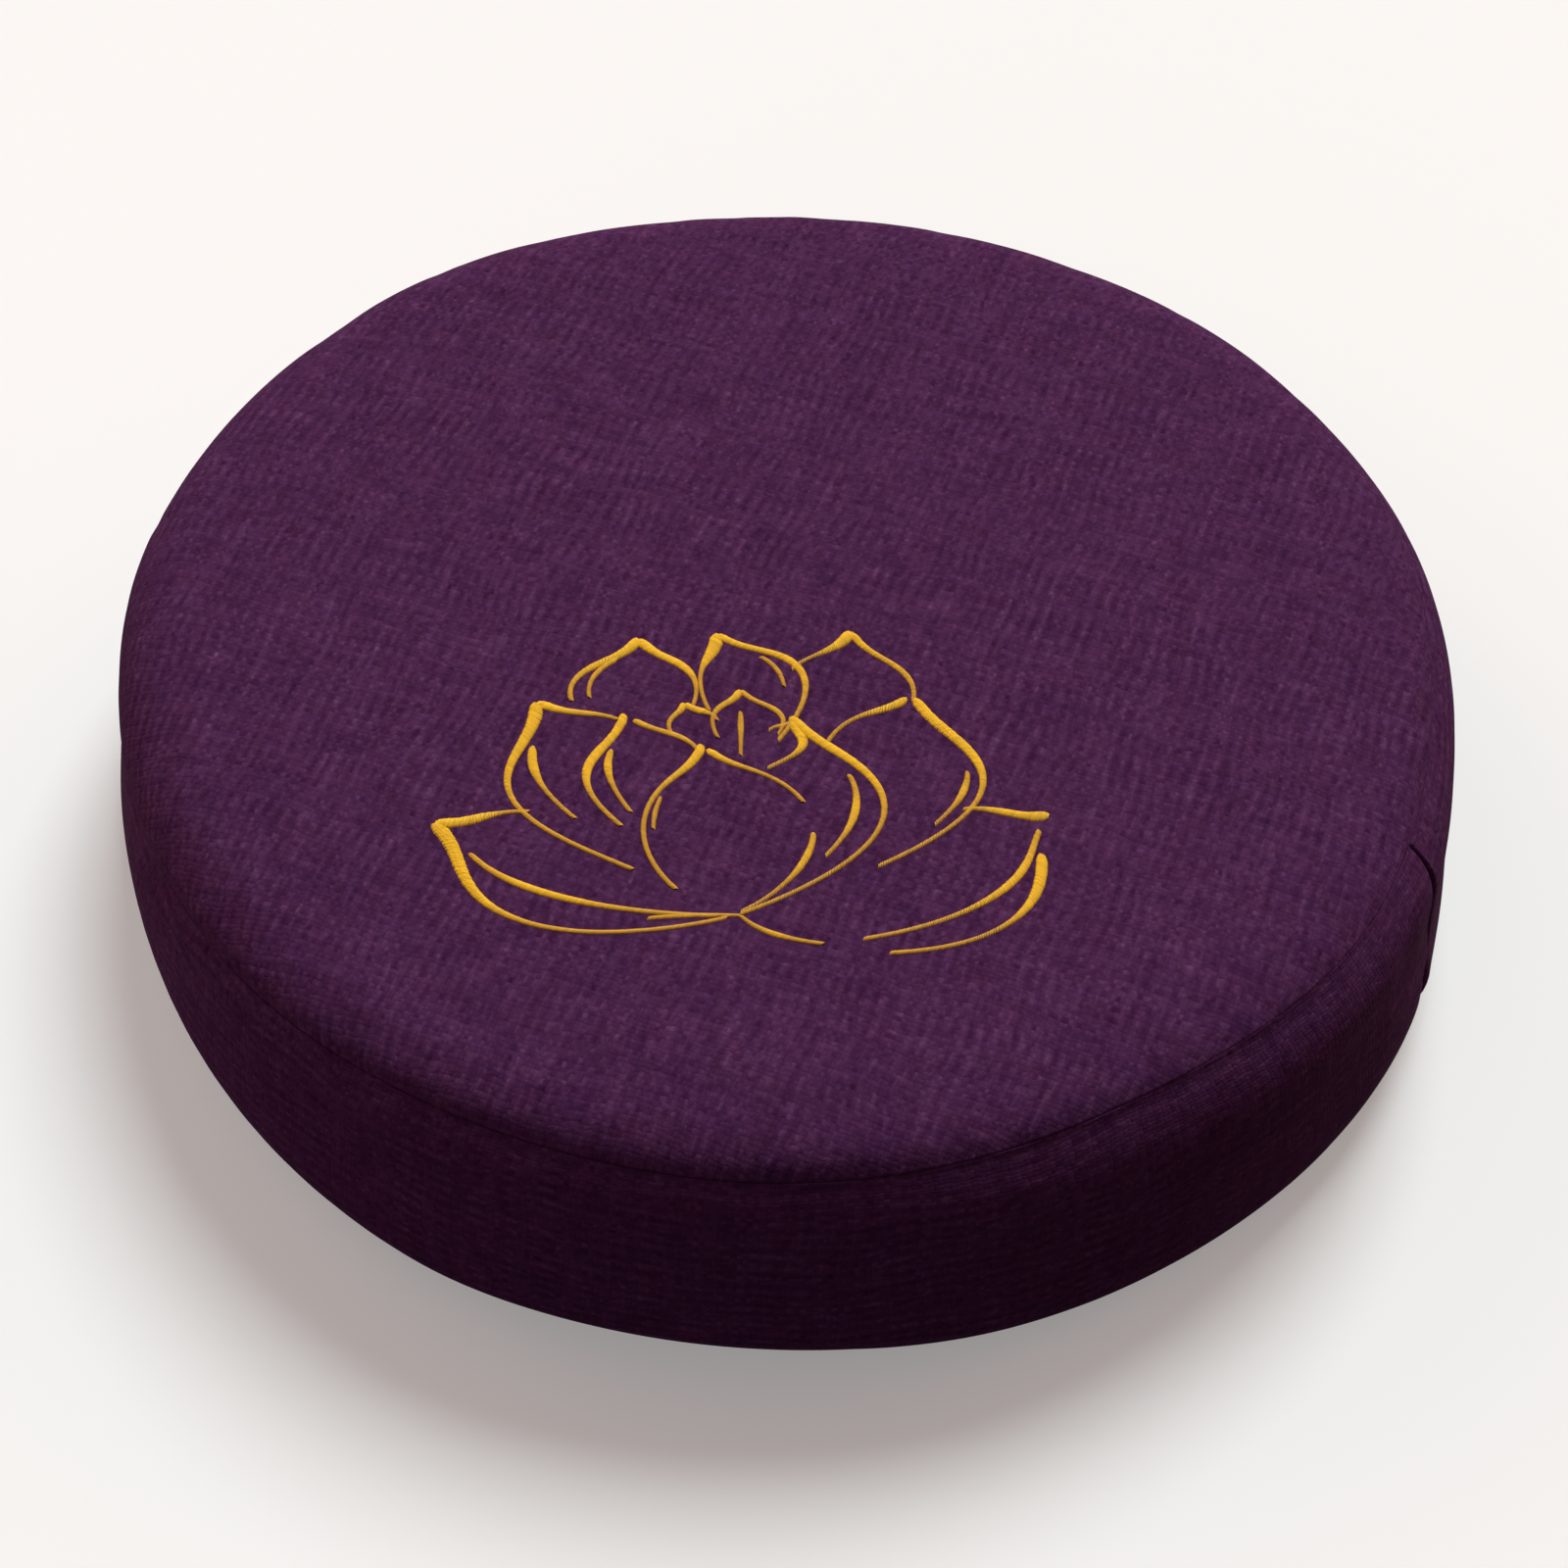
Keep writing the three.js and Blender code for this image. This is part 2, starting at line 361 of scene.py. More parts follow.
def ripples(turns, coarse, fine, seed):
    """Small random waves round a seam, of two sizes: so many coarse and fine ones to the round."""
    row = np.zeros_like(turns)
    first = soft_noise(turns * coarse, row + 1.5, seed, coarse)
    return 0.6 * first + 0.4 * soft_noise(turns * fine, row + 3.5, seed + 1, fine)


def rolled(distance, radius):
    """Depth of two cloth edges that roll into a seam: a quarter circle on each side of it."""
    near = np.clip(1 - np.abs(distance) / radius, 0, 1)
    return radius * (1 - np.sqrt(1 - near**2))


def fold_height(size, degrees, along):
    """All the soft folds: each a bell curve across the line from its one place to its other,
    fading beyond its ends."""
    height = 0.0
    for _, angle, from_along, to_angle, to_along, width, rise in FOLDS:
        start = np.array([math.radians(angle) * size.radius, from_along * MM])
        line = np.array([math.radians(to_angle) * size.radius, to_along * MM]) - start
        x = np.radians(away(degrees, angle)) * size.radius
        y = along - start[1]
        reach = np.hypot(*line)
        down = (x * line[0] + y * line[1]) / reach
        beside = (y * line[0] - x * line[1]) / reach
        past = np.maximum(np.abs(down - reach / 2) - reach / 4, 0)
        spread = width * MM
        height = height + rise * MM * bell(beside, spread) * bell(past, reach / 4 + spread / 2)
    return height


def relief(size, degrees, along):
    """How far the cloth stands out from the plain form: soft lumps of the filling and folds on
    each panel, small gathers beside the seams, and the seams, the upright join of the band and
    its open pucker drawn in."""
    top_seam, bottom_seam = seam_lines(size, degrees)
    foot_end = landmarks(size)[3]
    above, below = along - top_seam, along - bottom_seam
    lean = 1.1 * ease(along, 44 * MM, 76 * MM)
    x = np.radians((degrees - math.degrees(size.join_angle) + lean) % 360) * size.radius
    across = np.minimum(x, 2 * math.pi * size.radius - x)
    side = np.where(x < math.pi * size.radius, 1.0, -1.0)
    turns = x / (2 * math.pi * size.radius)
    on_band = ease(above, -0.6 * MM, 0.6 * MM) * (1 - ease(below, -0.6 * MM, 0.6 * MM))
    seam = np.minimum(np.abs(above), np.abs(below))
    held = 1 - np.exp(-seam / (6 * MM))

    angle, spread = np.radians(degrees), landmarks(size)[0] + along
    flat_x, flat_y = spread * np.cos(angle), spread * np.sin(angle)
    lumps = soft_noise(flat_x / 0.052 + 7, flat_y / 0.052 + 9, 3)
    lumps = lumps + 0.4 * soft_noise(flat_x / 0.023 + 17, flat_y / 0.023 + 5, 4)
    band = 0.6 * soft_noise(turns * 23, along / 0.030 + 3, 5, 23)
    band = band + 0.5 * soft_noise(turns * 31, along / 0.011 + 8, 6, 31)
    uneven = np.where(above < 0, 0.55 * lumps, band) * held * size.unevenness

    gathers = np.where(above < 0, ripples(turns, 97, 181, 7), ripples(turns, 89, 167, 9))
    gathers = gathers * np.exp(-seam / (5 * MM)) * size.gathers

    tight = 1 - 0.6 * bell(away(degrees, -44), 22) + 1.3 * bell(away(degrees, -150), 18)
    drawn = np.maximum(rolled(above, size.seam_roll) * tight, rolled(below, size.seam_roll))
    drawn = drawn + size.seam_dip * (bell(above, size.seam_reach) * tight + bell(below, size.seam_reach))
    # Just under the top seam the band turns in, deepest at a distance from it
    front_turn = size.front_turn * bell(away(degrees, -72), 36)
    for depth, deepest in ((size.seam_turn, 4.5 * MM), (front_turn, 11 * MM)):
        down = np.maximum(above, 0) / deepest
        drawn = drawn + depth * down * np.exp(1 - down)
    # At the front the cloth is drawn down to the top seam from both sides
    fading = np.exp(np.where(above < 0, above / (7 * MM), above / (-25 * MM)))
    drawn = drawn + size.shoulder_pull * bell(away(degrees, -85), 42) * fading

    # The join is shallower for a stretch, one side of it laps over the other, and it stands open
    # in a pucker low down
    low = below + PUCKER_ABOVE
    upright = rolled(across, size.seam_roll * 1.7) + size.seam_dip * bell(across, size.seam_reach)
    upright = upright * (1 - 0.8 * bell(below + 34 * MM, 9 * MM))
    lap = size.lap * (1 - ease(along, 48 * MM, 62 * MM)) + 1.7 * MM * bell(low, 7.5 * MM)
    lap = lap * ease(side * across, -0.2 * MM, 1.2 * MM) * np.exp(-across / (7 * MM))
    pucker = size.pucker * bell(across - 0.8 * MM * (side < 0), 2.4 * MM) * bell(low, 7 * MM)
    drawn = np.maximum(drawn, (upright + pucker) * on_band)

    out = uneven + gathers + fold_height(size, degrees, along) * held + lap * on_band - drawn
    flat = ease(along, foot_end - 12 * MM, foot_end)
    return out * (1 - flat) + np.minimum(-drawn, 0) * flat


class Skin:
    """The cloth as a surface: any angle and length along it give a point in space."""

    def __init__(self, size):
        self.size = size
        self.swell = None
        self.shift = middle(size)

    def marks(self, degrees):
        """Lengths along the cloth of the top's middle, the two seams and the base's middle."""
        top, _, _, _, end = landmarks(self.size)
        return -top, *seam_lines(self.size, degrees), end

    def share_down(self, degrees, along):
        """Place down the cloth as 0 to 1 on the top, 1 to 2 on the band and 2 to 3 on the base."""
        a, b, c, d = self.marks(degrees)
        band = np.where(along < c, 1 + (along - b) / (c - b), 2 + (along - c) / (d - c))
        return np.where(along < b, (along - a) / (b - a), band)

    def along_at(self, degrees, share):
        """Length along the cloth at a share_down place: the reverse of share_down."""
        a, b, c, d = self.marks(degrees)
        band = np.where(share < 2, b + (share - 1) * (c - b), c + (share - 2) * (d - c))
        return np.where(share < 1, a + share * (b - a), band)

    def plain(self, degrees, along, out=0.0):
        """A point of the plain form, moved out of the cloth by a distance."""
        r, z, out_r, out_z = profile(self.size, along)
        reach = (r + out * out_r) * outline(self.size, degrees)
        angle = np.radians(degrees)
        points = np.stack([reach * np.cos(angle), reach * np.sin(angle), z + out * out_z], -1)
        return points - self.shift

    def points(self, degrees, along):
        """Points of the finished cloth: the plain form with its relief and the filling's swell."""
        found = self.plain(degrees, along, relief(self.size, degrees, along))
        if self.swell is not None:
            found = found + self.swell.at(degrees, self.share_down(degrees, along))
        found[..., 2] = np.maximum(found[..., 2], 0)
        return found


class Swell:
    """Movement of the cloth, known on a coarse grid of angles and shares down it."""

    def __init__(self, moves, shares):
        self.moves = moves
        self.shares = shares

    def at(self, degrees, share):
        """The movement at any place: cubic curves through the four nearest columns and rows."""
        rows, columns = self.moves.shape[:2]
        u = (degrees % 360) / 360 * columns
        v = np.interp(share, self.shares, np.arange(rows))
        i, j = np.floor(u).astype(int), np.minimum(np.floor(v).astype(int), rows - 2)
        found = 0.0
        for k, across in neighbours(u - i):
            for m, down in neighbours(v - j):
                row = np.clip(j + m, 0, rows - 1)
                found = found + self.moves[row, (i + k) % columns] * (across * down)[..., None]
        return found


# Meshes


def put_mesh(name, points, faces):
    """A smooth mesh object from an array of points and a list of arrays of faces."""
    mesh = bpy.data.meshes.new(name)
    mesh.from_pydata(points, [], [face for group in faces for face in group.tolist()])
    if mesh.validate():
        raise RuntimeError(f"the mesh of {name} has faces that don't fit together")
    mesh.shade_smooth()
    piece = bpy.data.objects.new(name, mesh)
    bpy.context.collection.objects.link(piece)
    return piece


def dress(piece, material, uv_name, corner_uv):
    """Gives a piece its material and its corners' places on the cloth."""
    piece.data.materials.append(material)
    layer = piece.data.uv_layers.new(name=uv_name)
    layer.uv.foreach_set("vector", np.ascontiguousarray(corner_uv, np.float32).ravel())


def spaced(start, stop, count):
    """Even steps from start towards stop, without stop."""
    return start + (stop - start) * np.arange(count)[:, None] / count


# Rows of the mesh between the seams' surroundings, and columns between the join's
TOP_STEPS, BAND_STEPS, BASE_STEPS, ROUND_STEPS = 46, 22, 28, 620

# Distances from a seam's line at which the mesh has rows, in millimetres
SEAM_ROWS = np.array([0.12, 0.3, 0.5, 0.75, 1.1, 1.6, 2.3, 3.3, 4.7, 6.6, 9.0])


def cover_grid(size):
    """Angles of the columns, once round from the join and back to it, and lengths along the
    cloth of the rows in each column, closer together beside the seams and the join. Also the
    rows at which the top and the band end."""
    round_about = 2 * math.pi * size.radius
    near = SEAM_ROWS[:-1] * MM
    even = np.linspace(near[-1], round_about - near[-1], ROUND_STEPS)
    x = np.concatenate([[0], near[:-1], even, round_about - near[:-1][::-1], [round_about]])
    degrees = math.degrees(size.join_angle) + x / round_about * 360
    top, _, _, _, end = landmarks(size)
    upper, lower = seam_lines(size, degrees)
    beside = np.concatenate([-SEAM_ROWS[::-1], [0], SEAM_ROWS])[:, None] * MM
    reach = SEAM_ROWS[-1] * MM
    rows = [
        spaced(-top, upper - reach, TOP_STEPS),
        upper + beside[:-1],
        spaced(upper + reach, lower - reach, BAND_STEPS),
        lower + beside[:-1],
        spaced(lower + reach, end, BASE_STEPS),
        np.full((1, len(degrees)), end),
    ]
    top_row = TOP_STEPS + len(SEAM_ROWS)
    return degrees, np.concatenate(rows), (top_row, top_row + BAND_STEPS + 2 * len(SEAM_ROWS))


def skin_faces(rows, columns):
    """Faces of a closed skin with a point at each pole: four-cornered faces, and a fan at each
    pole. Also gives each corner's row and column, the last column once round, and the first row
    of its face."""
    found = []
    for starts, down, across in (
        (np.arange(1, rows - 2), [0, 1, 1, 0], [0, 0, 1, 1]),
        ([0], [0, 1, 1], [0, 0, 1]),
        ([rows - 2], [0, 1, 0], [0, 0, 1]),
    ):
        i, j = (grid.reshape(-1, 1) for grid in np.meshgrid(starts, np.arange(columns), indexing="ij"))
        row, column = i + down, j + across
        point = np.clip(1 + (row - 1) * columns + column % columns, 0, 1 + (rows - 2) * columns)
        found.append((point, row.ravel(), column.ravel(), i.repeat(len(down))))
    faces, *places = zip(*found)
    return list(faces), *map(np.concatenate, places)


def skin_points(points):
    """The points of a grid of rows and columns with each pole's row as one point."""
    return np.concatenate([points[0, :1], points[1:-1].reshape(-1, 3), points[-1, :1]])


def cloth_places(size, finish, degrees, rows, borders, corner_row, corner_column, face_row):
    """Places on the flat cloth, in metres: the top and base panels laid out from their middles,
    turned to their grain, and the band unrolled, its warp along the top seam. The three lie
    well apart, so that no two are woven alike."""
    top, _, _, _, end = landmarks(size)
    angle = np.radians(degrees[corner_column])
    along = rows[corner_row, corner_column % (len(degrees) - 1)]
    upper = seam_lines(size, degrees)[0][corner_column]
    turned = angle - finish.grain
    out, back = along + top, end - along
    on_top = np.stack([out * np.cos(turned), out * np.sin(turned)], -1)
    on_band = np.stack([upper - along + 4.0, angle * size.radius], -1)
    on_base = np.stack([back * np.cos(angle + 0.3), 2.0 - back * np.sin(angle + 0.3)], -1)
    within_top, within_band = ((face_row < border)[:, None] for border in borders)
    return np.where(within_top, on_top, np.where(within_band, on_band, on_base))


# How the cover behaves while it is blown up, and for how many steps
FILLING = {
    "quality": 5,
    "mass": 0.3,
    "tension_stiffness": 20,
    "compression_stiffness": 6,
    "shear_stiffness": 8,
    "bending_stiffness": 1.5,
    "air_damping": 2,
    "use_pressure": True,
    "uniform_pressure_force": 4,
    "vertex_group_mass": "held",
    "pin_stiffness": 1.0,
}
FILLING_STEPS = 20


def fill_cushion(skin):
    """Puffs the cover up: a coarse copy of the skin, held at its base and its seams, is blown
    up as cloth. What it moves outwards is kept, up to the size's puff, and a fifth of what it
    moves inwards, because the filling resists."""
    size = skin.size
    columns, per_panel = 240, (22, 14, 14)
    shares = np.concatenate([k + np.arange(n) / n for k, n in enumerate(per_panel)] + [[3.0]])
    degrees = np.arange(columns) * 360 / columns
    grid_degrees, grid_shares = np.meshgrid(degrees, shares)
    along = skin.along_at(grid_degrees, grid_shares)
    start = skin.plain(grid_degrees, along, -1.0 * MM + relief(size, grid_degrees, along) * 0.5)
    faces = skin_faces(len(shares), columns)[0]
    points = skin_points(start)
    puffed = put_mesh("filling", points, faces)
    top_seam, bottom_seam = seam_lines(size, grid_degrees)
    held = np.maximum(
        ease(along, landmarks(size)[3] - 6 * MM, landmarks(size)[3]),
        0.55 * np.maximum(bell(along - top_seam, 4 * MM), bell(along - bottom_seam, 4 * MM)),
    )
    group = puffed.vertex_groups.new(name="held")
    weights = np.round(skin_points(held[..., None].repeat(3, -1))[:, 0], 2)
    for level in np.unique(weights):
        group.add(np.flatnonzero(weights == level).tolist(), float(level), "REPLACE")
    cloth = puffed.modifiers.new("filling", "CLOTH")
    for name, value in FILLING.items():
        setattr(cloth.settings, name, value)
    cloth.settings.effector_weights.gravity = 0
    cloth.point_cache.frame_start, cloth.point_cache.frame_end = 1, FILLING_STEPS
    scene = bpy.context.scene
    for step in range(1, FILLING_STEPS + 1):
        scene.frame_set(step)
    blown = puffed.evaluated_get(bpy.context.evaluated_depsgraph_get()).to_mesh()
    moved = np.empty(len(points) * 3, np.float32)
    blown.vertices.foreach_get("co", moved)
    moves = moved.reshape(-1, 3) - points
    scene.frame_set(1)
    bpy.data.meshes.remove(puffed.data)
    _, _, out_r, out_z = profile(size, along)
    angle = np.radians(grid_degrees)
    out = skin_points(np.stack([out_r * np.cos(angle), out_r * np.sin(angle), out_z], -1))
    inward = np.minimum((moves * out).sum(1, keepdims=True), 0)
    moves = moves - 0.8 * inward * out
    far = np.linalg.norm(moves, axis=1, keepdims=True)
    moves = moves * np.tanh(far / size.puff) * size.puff / np.maximum(far, 1e-9)
    poles = [np.broadcast_to(pole, (1, columns, 3)) for pole in (moves[0], moves[-1])]
    rows_between = moves[1:-1].reshape(len(shares) - 2, columns, 3)
    return Swell(np.concatenate([poles[0], rows_between, poles[1]]), shares)


# The lotus


def petal_line(petal, side, share, t):
    """An edge of a petal over the run t from base to tip. Along the petal it advances by a
    quarter sine wave, which rounds the petal off, and by a twelfth power, which draws its tip
    out. Sideways it swings by half a sine wave of t raised so that it is widest where wanted."""
    base = np.array([petal["x"], petal["y"]]) * MM
    tip = np.array([petal["tip_x"], petal["tip_y"]]) * MM
    line = tip - base
    left = np.array([-line[1], line[0]]) / np.hypot(*line)
    width = petal["left"] if side > 0 else petal["right"]
    form = np.sin(np.pi * t ** (math.log(0.5) / math.log(petal["widest"])))
    push = side * share * width * MM * form
    down = (1 - petal["draw"]) * np.sin(np.pi / 2 * t) + petal["draw"] * t**12
    return base + down[:, None] * line + push[:, None] * left


def lotus_lines():
    """The lines of the flower, each as points on the cloth and widths, from thin end to tip."""
    t = np.linspace(0, 1, 161)
    petals = {petal["name"]: petal for petal in rows_of(PETAL_COLUMNS, PETALS)}
    for row in rows_of(STROKE_COLUMNS, STROKES):
        stretch = row["start"] + (row["end"] - row["start"]) * t
        points = petal_line(petals[row["petal"]], row["side"], row["share"], stretch)
        yield points, line_width(row, t)
    for row in rows_of(STEM_COLUMNS, STEMS):
        places = (("x", "y"), ("mid_x", "mid_y"), ("to_x", "to_y"))
        a, b, c = (np.array([row[x], row[y]]) * MM for x, y in places)
        s = t[:, None]
        yield a * (1 - s) ** 2 + (4 * b - a - c) * s * (1 - s) + c * s * s, line_width(row, t)


def line_width(row, t):
    """A brush-like width: it grows towards the tip by the fourth power and is raised to full
    at a place."""
    plain = row["thin"] + (row["tip"] - row["thin"]) * t**4
    swell = np.maximum(row["full"] - np.interp(row["at"], t, plain), 0)
    return (plain + swell * bell(t - row["at"], 0.24)) * MM


def stitch_plan(finish):
    """Where the satin stitches lie on the flat cloth, side by side along every line: middle,
    direction, half length, a random number and the line's width there. Thin lines have longer
    stitches that lie more along the line."""
    plan = []
    rng = np.random.RandomState(11)
    for points, widths in lotus_lines():
        lengths = np.concatenate([[0], np.cumsum(np.hypot(*np.diff(points, axis=0).T))])
        slant = np.interp(widths, [0.9 * MM, 1.6 * MM], [math.radians(38), math.radians(68)])
        step = finish.spacing / np.sin(slant)
        counter = np.concatenate([[0], np.cumsum(np.diff(lengths) / ((step[1:] + step[:-1]) / 2))])
        count = max(int(counter[-1]), 3)
        s = np.interp(np.arange(count) + 0.5, counter, lengths)
        full = np.interp(s, lengths, widths)
        radius = np.maximum(widths[[0, -1]] * [0.5, 1.1], 0.3 * MM)
        ends = np.stack([s, lengths[-1] - s], -1) / radius
        rounding = np.sqrt(1 - (1 - np.clip(ends, 0.04, 1)) ** 2).prod(-1)
        place, ahead, behind = (
            np.stack([np.interp(s + shift, lengths, points[:, k]) for k in (0, 1)], -1)
            for shift in (0, 0.2 * MM, -0.2 * MM)
        )
        way = unit(ahead - behind)
        width = finish.boldness * full * rounding * (1 + 0.05 * rng.uniform(-1, 1, count))
        angle = np.interp(s, lengths, slant) + rng.uniform(-0.03, 0.03, count)
        c, sn = np.cos(angle), np.sin(angle)
        place = place + way * rng.uniform(-0.03, 0.03, (count, 1)) * MM
        turned = np.stack([way[:, 0] * c - way[:, 1] * sn, way[:, 0] * sn + way[:, 1] * c], -1)
        plan.append((place, turned, width / 2 / sn, rng.uniform(0, 1, count), full))
    return [np.concatenate(column) for column in zip(*plan)]


def stitches(skin, finish):
    """All the stitches: each a thread with a four-sided section that comes up at one edge of
    its line, arches over the padding and goes down at the other edge."""
    place, way, reach, seed, fullness = stitch_plan(finish)
    across = np.array([-1, -0.72, 0, 0.72, 1])
    arch = np.array([-0.3, 0.62, 1, 0.62, -0.3])
    flat = place[:, None] + way[:, None] * (across * reach[:, None])[..., None]
    height = arch * (finish.padding + 0.13 * reach[:, None] * (1 + 0.1 * (seed[:, None] - 0.5)))
    ground, up = cloth_under(skin, flat)
    side = unit(np.cross(up, np.concatenate([way, 0 * way[:, :1]], -1)[:, None]))
    turn = np.arange(4) * math.pi / 2 + math.pi / 4
    ring = side[..., None, :] * np.cos(turn)[:, None] + up[..., None, :] * np.sin(turn)[:, None]
    core = ground + up * height[..., None]
    points = (core[..., None, :] + ring * finish.thread / 2).reshape(-1, 3)
    n, stations = len(place), len(across)
    first = np.arange(n)[:, None, None] * stations * 4
    k = first + np.arange(stations - 1)[None, :, None] * 4
    m = np.arange(4)[None, None, :]
    walls = np.stack([k + m, k + (m + 1) % 4, k + 4 + (m + 1) % 4, k + 4 + m], -1)
    first = first[:, 0]
    caps = np.concatenate([first + [3, 2, 1, 0], first + 4 * (stations - 1) + [0, 1, 2, 3]])
    u = (across * reach[:, None])[:, :, None].repeat(4, 2)
    v = np.broadcast_to(np.arange(4) / 4 * THREAD_ROUND, u.shape) + (seed[:, None, None] * 0.5)
    uv = np.stack([u, v], -1).reshape(-1, 2)
    faces = np.concatenate([walls.reshape(-1, 4), caps])
    return points, faces, uv[faces.ravel()], fullness.repeat(stations * 4)


def cloth_under(skin, flat):
    """The finished cloth's points and directions out of it at places on the flat top panel."""
    top = landmarks(skin.size)[0]

    def at(place):
        out = np.hypot(place[..., 0], place[..., 1])
        return skin.points(np.degrees(np.arctan2(place[..., 1], place[..., 0])), out - top)

    step = 1.0 * MM
    along_x = at(flat + [step, 0]) - at(flat - [step, 0])
    along_y = at(flat + [0, step]) - at(flat - [0, step])
    return at(flat), unit(np.cross(along_x, along_y))


# Materials


def maths(operation):
    """A method that adds a Math node of one kind to a shader value."""
    return lambda value, *others: value.math(operation, *others)


class Value:
    """A number in a shader: arithmetic on it adds Math nodes."""

    def __init__(self, shader, socket):
        self.shader = shader
        self.socket = socket

    def math(self, operation, *others):
        return self.shader.node("Math", {"operation": operation}, dict(enumerate((self, *others))))

    __add__ = __radd__ = maths("ADD")
    __sub__ = maths("SUBTRACT")
    __mul__ = __rmul__ = maths("MULTIPLY")
    __truediv__ = maths("DIVIDE")
    __pow__ = maths("POWER")

    def __rsub__(self, other):
        return self.shader.node("Math", {"operation": "SUBTRACT"}, {0: other, 1: self})

    def between(self, low, high):
        """Zero below low, one above high and a smooth step between."""
        places = {"Value": self, "From Min": low, "From Max": high}
        return self.shader.node("MapRange", {"interpolation_type": "SMOOTHSTEP"}, places)


class Shader:
    """The nodes of a material or of the world, made one call each."""

    def __init__(self, owner):
        owner.use_nodes = True
        self.owner, self.tree = owner, owner.node_tree
        self.tree.nodes.clear()

    def node(self, kind, settings, values, output=0):
        """Adds a node, sets its settings, then its sockets, and gives one of its outputs."""
        made = self.tree.nodes.new("ShaderNode" + kind)
        for name, setting in settings.items():
            setattr(made, name, setting)
        for name, value in values.items():
            if isinstance(value, Value):
                self.tree.links.new(value.socket, made.inputs[name])
            else:
                made.inputs[name].default_value = value
        return None if output is None else Value(self, made.outputs[output])

    def mix(self, factor, first, second, blend="MIX"):
        """Mixes two colours."""
        settings = {"data_type": "RGBA", "blend_type": blend}
        return self.node("Mix", settings, {0: factor, 6: first, 7: second}, 2)

    def shaded(self, plain, *lights):
        """A colour with its red, green and blue multiplied by three numbers."""
        return self.mix(1.0, plain, self.node("CombineColor", {}, dict(enumerate(lights))), "MULTIPLY")

    def parts(self, vector):
        """A vector's first two parts."""
        split = self.tree.nodes.new("ShaderNodeSeparateXYZ")
        self.tree.links.new(vector.socket, split.inputs[0])
        return Value(self, split.outputs[0]), Value(self, split.outputs[1])

    def pair(self, x, y):
        """A vector from two numbers."""
        return self.node("CombineXYZ", {}, {0: x, 1: y})

    def noise(self, vector, scale, detail=1.0, roughness=0.5, output="Fac"):
        """Soft noise in two dimensions."""
        places = {"Vector": vector, "Scale": scale, "Detail": detail, "Roughness": roughness}
        return self.node("TexNoise", {"noise_dimensions": "2D"}, places, output)

    def chance(self, number):
        """One random number for each whole number."""
        return self.node("TexWhiteNoise", {"noise_dimensions": "1D"}, {"W": number})

    def surface(self, **values):
        """The surface that the material shows, from its named sockets."""
        places = {name.replace("_", " "): value for name, value in values.items()}
        return self.shown(self.node("BsdfPrincipled", {}, places), "OutputMaterial")

    def shown(self, made, kind):
        """Links a shader to the output of the material or world and gives that."""
        self.node(kind, {}, {"Surface": made}, None)
        return self.owner

    def facing(self, way, direction):
        """How far a vector points in a direction."""
        return self.node("VectorMath", {"operation": "DOT_PRODUCT"}, {0: way, 1: direction}, "Value")


